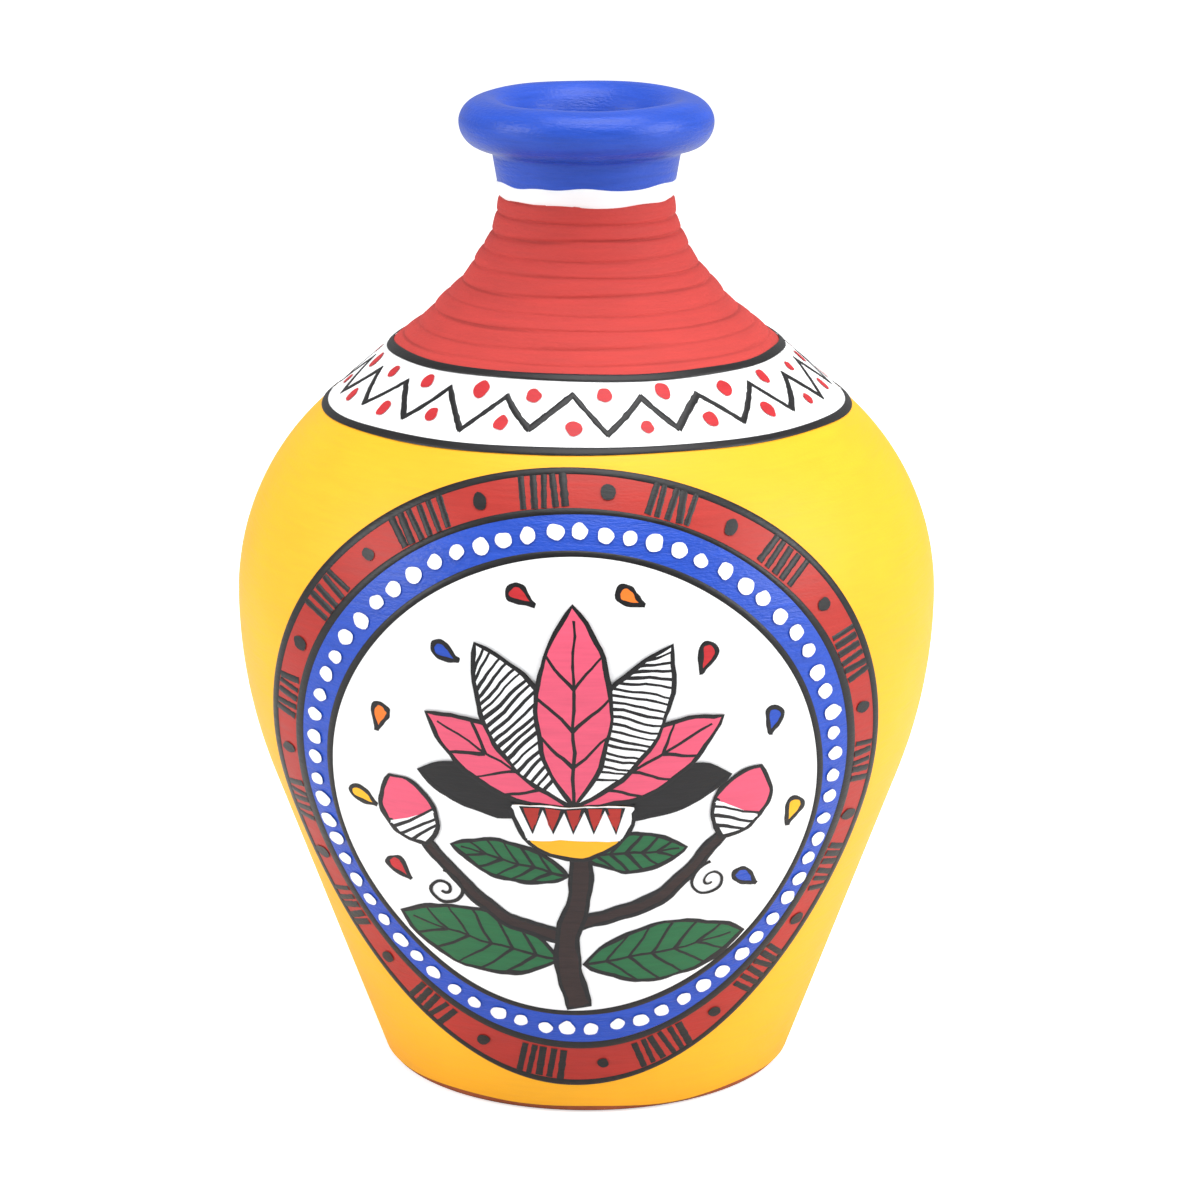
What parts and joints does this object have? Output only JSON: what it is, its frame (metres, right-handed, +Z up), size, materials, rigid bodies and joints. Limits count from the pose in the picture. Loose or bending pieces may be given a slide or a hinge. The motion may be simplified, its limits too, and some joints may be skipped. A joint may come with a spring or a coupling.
{
  "type": "terracotta water jar",
  "caption": "Wheel-thrown terracotta jar with a round belly, narrow ridged neck and rolled rim, painted by hand with bands, a zigzag and a round picture in rings.",
  "frame": {"origin": "centre of the flat foot, on the surface that the jar stands on", "axes": "+Z up along the jar's axis, -Y towards the middle of the painted round picture, +X to the right of someone who looks at it"},
  "size_m": [0.1424, 0.1427, 0.2002],
  "materials": {
    "fired_clay": "matte, unglazed",
    "blue_paint": "satin",
    "white_paint": "matte",
    "red_paint": "matte",
    "yellow_paint": "matte",
    "black_paint": "satin",
    "ring_red_paint": "matte"
  },
  "bodies": {
    "root": {"clay_vessel": "fired_clay", "rim_blue_coat": "blue_paint", "neck_white_line": "white_paint", "neck_red_coat": "red_paint", "shoulder_white_coat": "white_paint", "belly_yellow_coat": "yellow_paint", "upper_band_line": "black_paint", "lower_band_line": "black_paint", "band_zigzag": "black_paint", "picture_white_ground": "white_paint", "inner_ring_line": "black_paint", "blue_ring": "blue_paint", "middle_ring_line": "black_paint", "red_ring": "ring_red_paint", "outer_ring_line": "black_paint"}
  },
  "joints": []
}
